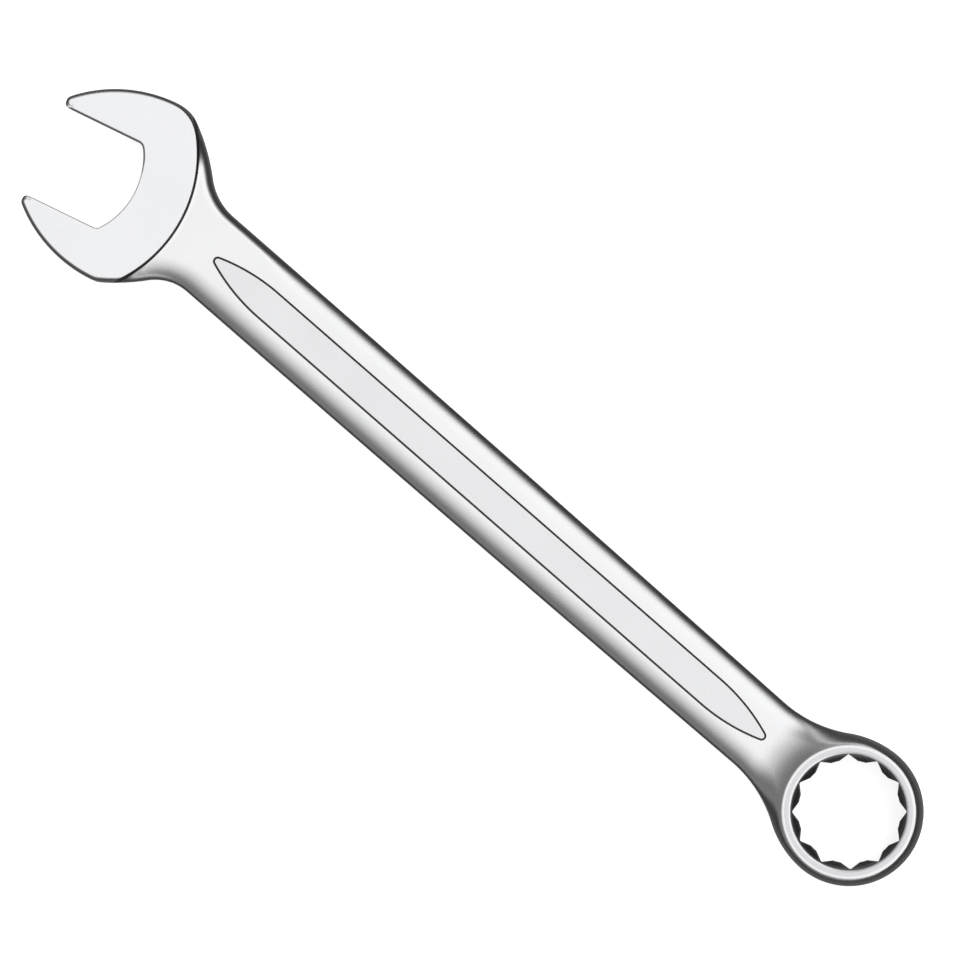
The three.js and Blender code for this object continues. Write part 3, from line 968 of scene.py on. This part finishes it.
def piece_from(name, low_x, high_x):
    points = np.array(shell.points)
    middles = np.array([points[list(face), 0].mean() for face in shell.faces])
    chosen = np.flatnonzero((middles > low_x) & (middles < high_x))
    faces = [shell.faces[i] for i in chosen]
    normals = [n for i in chosen for n in shell.normals[i]]
    finish = [shell.finish[i] for i in chosen]
    for seam_x, side in ((low_x, -1), (high_x, 1)):
        if math.isfinite(seam_x):
            for polygon in cap_faces(seam_x):
                faces.append(tuple(polygon if side > 0 else polygon[::-1]))
                normals += [(side, 0, 0)] * len(polygon)
                finish.append(SATIN)
    used = sorted({i for face in faces for i in face})
    renumbered = {old: new for new, old in enumerate(used)}
    mesh = bpy.data.meshes.new(name)
    placed = (points[used] + origin) * MM
    mesh.from_pydata([tuple(p) for p in placed], [], [[renumbered[i] for i in face] for face in faces])
    for finish_material in finishes:
        mesh.materials.append(finish_material)
    mesh.polygons.foreach_set("material_index", finish)
    mesh.polygons.foreach_set("use_smooth", [True] * len(faces))
    mesh.normals_split_custom_set(normals)
    piece = bpy.data.objects.new(name, mesh)
    bpy.context.scene.collection.objects.link(piece)
    print(name, "has", len(placed), "points and", len(faces), "faces")
    return piece


open_end = piece_from("forged_open_end", -math.inf, jaw_seam)
shank_bar = piece_from("forged_shank", jaw_seam, ring_seam)
ring_end = piece_from("forged_ring_end", ring_seam, math.inf)
for piece, node, slot in (
    (open_end, HEAD, "ground_face"),
    (shank_bar, SHANK, "satin_chrome"),
    (ring_end, RING, "bright_chrome"),
):
    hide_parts(node)
    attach(piece, "root")

# %% [markdown]
# ## Floor, light and camera
# The tool lies on a plain pale floor. Chrome shows its surroundings, so the surroundings are made
# with care: a sky that is white overhead, a little brighter on one side, and dark near and below the
# horizon. The dark band is what draws a thin dark line round the tool's rounded edges. Two soft
# windows stand low down on opposite sides, so that the broad faces stay bright when the tool is seen
# from low down. The floor itself is kept out of the reflections.

# %% The floor
FLOOR_SIZE = 6.0
floor_mesh = bpy.data.meshes.new("floor")
reach = FLOOR_SIZE / 2
floor_corners = [(-reach, -reach, 0), (reach, -reach, 0), (reach, reach, 0), (-reach, reach, 0)]
floor_mesh.from_pydata(floor_corners, [], [(0, 1, 2, 3)])
floor = bpy.data.objects.new("floor", floor_mesh)
floor.location.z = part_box(RING)[0].z
bpy.context.scene.collection.objects.link(floor)
floor_paint = bpy.data.materials.new("pale floor")
floor_paint.use_nodes = True
floor_surface = floor_paint.node_tree.nodes["Principled BSDF"]
floor_surface.inputs["Base Color"].default_value = (0.9, 0.9, 0.9, 1)
floor_surface.inputs["Roughness"].default_value = 0.9
floor_surface.inputs["Emission Color"].default_value = (1, 1, 1, 1)
floor_surface.inputs["Emission Strength"].default_value = 0.75
floor_mesh.materials.append(floor_paint)
floor.visible_glossy = False

# %% The sky
BRIGHT_SIDE = Vector((0.75, 0.66, 0))
BRIGHT_LEVELS = [
    (0.0, 0.12), (0.3, 0.03), (0.50, 0.03), (0.58, 0.04), (0.66, 0.08),
    (0.73, 0.26), (0.79, 0.62), (0.85, 1.0), (0.97, 1.0), (1.0, 0.93),
]
SHADED_LEVELS = [
    (0.0, 0.12), (0.3, 0.03), (0.46, 0.03), (0.51, 0.20), (0.75, 0.14),
    (0.82, 0.19), (0.87, 0.27), (0.915, 0.47), (0.95, 0.62), (0.975, 0.75), (0.992, 0.98), (1.0, 0.93),
]
WINDOW_SIDE = Vector((-0.707, 0.707, 0))
WINDOW_LEVELS = [
    (0.0, 0.0), (0.22, 0.0), (0.3, 0.05), (0.45, 0.05), (0.52, 0.04),
    (0.58, 0.08), (0.62, 0.55), (0.72, 0.55), (0.76, 0.0), (1.0, 0.0),
]
SKY_STRENGTH = 1.08
CAMERA_SKY = (0.93, 0.93, 0.93, 1)


def sky_node(nodes, kind, **settings):
    made = nodes.new(kind)
    for name, value in settings.items():
        setattr(made, name, value)
    return made


def level_ramp(nodes, levels):
    ramp = nodes.new("ShaderNodeValToRGB")
    while len(ramp.color_ramp.elements) < len(levels):
        ramp.color_ramp.elements.new(0.5)
    for element, (position, level) in zip(ramp.color_ramp.elements, levels):
        element.position = position
        element.color = (level, level, level, 1)
    return ramp


def share_along(nodes, link, place, axis, low, high, shape="SMOOTHSTEP", both_ways=False):
    """0 where the direction reaches low along an axis, 1 where it reaches high."""
    along = sky_node(nodes, "ShaderNodeVectorMath", operation="DOT_PRODUCT")
    along.inputs[1].default_value = axis
    link(place.outputs["Generated"], along.inputs[0])
    share = sky_node(nodes, "ShaderNodeMapRange", interpolation_type=shape)
    share.inputs["From Min"].default_value = low
    share.inputs["From Max"].default_value = high
    if both_ways:
        either_way = sky_node(nodes, "ShaderNodeMath", operation="ABSOLUTE")
        link(along.outputs["Value"], either_way.inputs[0])
        link(either_way.outputs["Value"], share.inputs["Value"])
    else:
        link(along.outputs["Value"], share.inputs["Value"])
    return share.outputs["Result"]


def make_sky():
    world = bpy.data.worlds.new("studio")
    bpy.context.scene.world = world
    world.use_nodes = True
    nodes, link = world.node_tree.nodes, world.node_tree.links.new
    nodes.clear()
    place = nodes.new("ShaderNodeTexCoord")
    levels_of = []
    for levels in (SHADED_LEVELS, BRIGHT_LEVELS, WINDOW_LEVELS):
        rise = share_along(nodes, link, place, Vector((0, 0, 1)), -1, 1, shape="LINEAR")
        ramp = level_ramp(nodes, levels)
        link(rise, ramp.inputs["Fac"])
        levels_of.append(ramp.outputs["Color"])
    shaded, bright, windows = levels_of
    mixed = sky_node(nodes, "ShaderNodeMix", data_type="RGBA")
    link(share_along(nodes, link, place, BRIGHT_SIDE, -0.1, 0.25), mixed.inputs["Factor"])
    link(shaded, mixed.inputs["A"])
    link(bright, mixed.inputs["B"])
    lit = sky_node(nodes, "ShaderNodeMix", data_type="RGBA", blend_type="LIGHTEN")
    link(share_along(nodes, link, place, WINDOW_SIDE, 0.8, 0.92, both_ways=True), lit.inputs["Factor"])
    link(mixed.outputs["Result"], lit.inputs["A"])
    link(windows, lit.inputs["B"])
    reflected, seen = nodes.new("ShaderNodeBackground"), nodes.new("ShaderNodeBackground")
    link(lit.outputs["Result"], reflected.inputs["Color"])
    reflected.inputs["Strength"].default_value = SKY_STRENGTH
    seen.inputs["Color"].default_value = CAMERA_SKY
    path, either = nodes.new("ShaderNodeLightPath"), nodes.new("ShaderNodeMixShader")
    result = nodes.new("ShaderNodeOutputWorld")
    link(path.outputs["Is Camera Ray"], either.inputs["Fac"])
    link(reflected.outputs["Background"], either.inputs[1])
    link(seen.outputs["Background"], either.inputs[2])
    link(either.outputs["Shader"], result.inputs["Surface"])


make_sky()
bpy.context.scene.view_settings.view_transform = "Standard"


# %% The soft light
def soft_light(name, place, size, power):
    light = bpy.data.lights.new(name, "AREA")
    light.shape = "DISK"
    light.size = size
    light.energy = power
    lamp = bpy.data.objects.new(name, light)
    lamp.location = place
    lamp.rotation_euler = (-Vector(place)).to_track_quat("-Z", "Y").to_euler()
    lamp.visible_camera = False
    lamp.visible_glossy = False
    bpy.context.scene.collection.objects.link(lamp)


soft_light("softbox", (0.25, 0.75, 1.1), 0.9, 3.0)

# %% The camera
TURN = math.radians(41.09)
LEAN_ALONG = math.radians(3.5)
LEAN_ACROSS = math.radians(1.5)
VIEW_OFFSET = Vector((-0.0985, 0.00144, 0))
VIEW_POINT = Vector((origin * MM).tolist()) + VIEW_OFFSET
VIEW_WIDTH = 0.19075
CAMERA_AWAY = 2.0


def make_camera():
    camera = bpy.data.objects.new("camera", bpy.data.cameras.new("camera"))
    bpy.context.scene.collection.objects.link(camera)
    up = Vector((math.tan(LEAN_ALONG), math.tan(LEAN_ACROSS), 1)).normalized()
    image_up = Vector((-math.sin(TURN), math.cos(TURN), 0))
    right = image_up.cross(up).normalized()
    image_up = up.cross(right)
    facing = Matrix((right, image_up, up)).transposed().to_4x4()
    camera.matrix_world = Matrix.Translation(VIEW_POINT + up * CAMERA_AWAY) @ facing
    camera.data.lens = camera.data.sensor_width * CAMERA_AWAY / VIEW_WIDTH
    camera.data.clip_end = 10 * CAMERA_AWAY
    bpy.context.scene.camera = camera


make_camera()

bpy.context.view_layer.update()
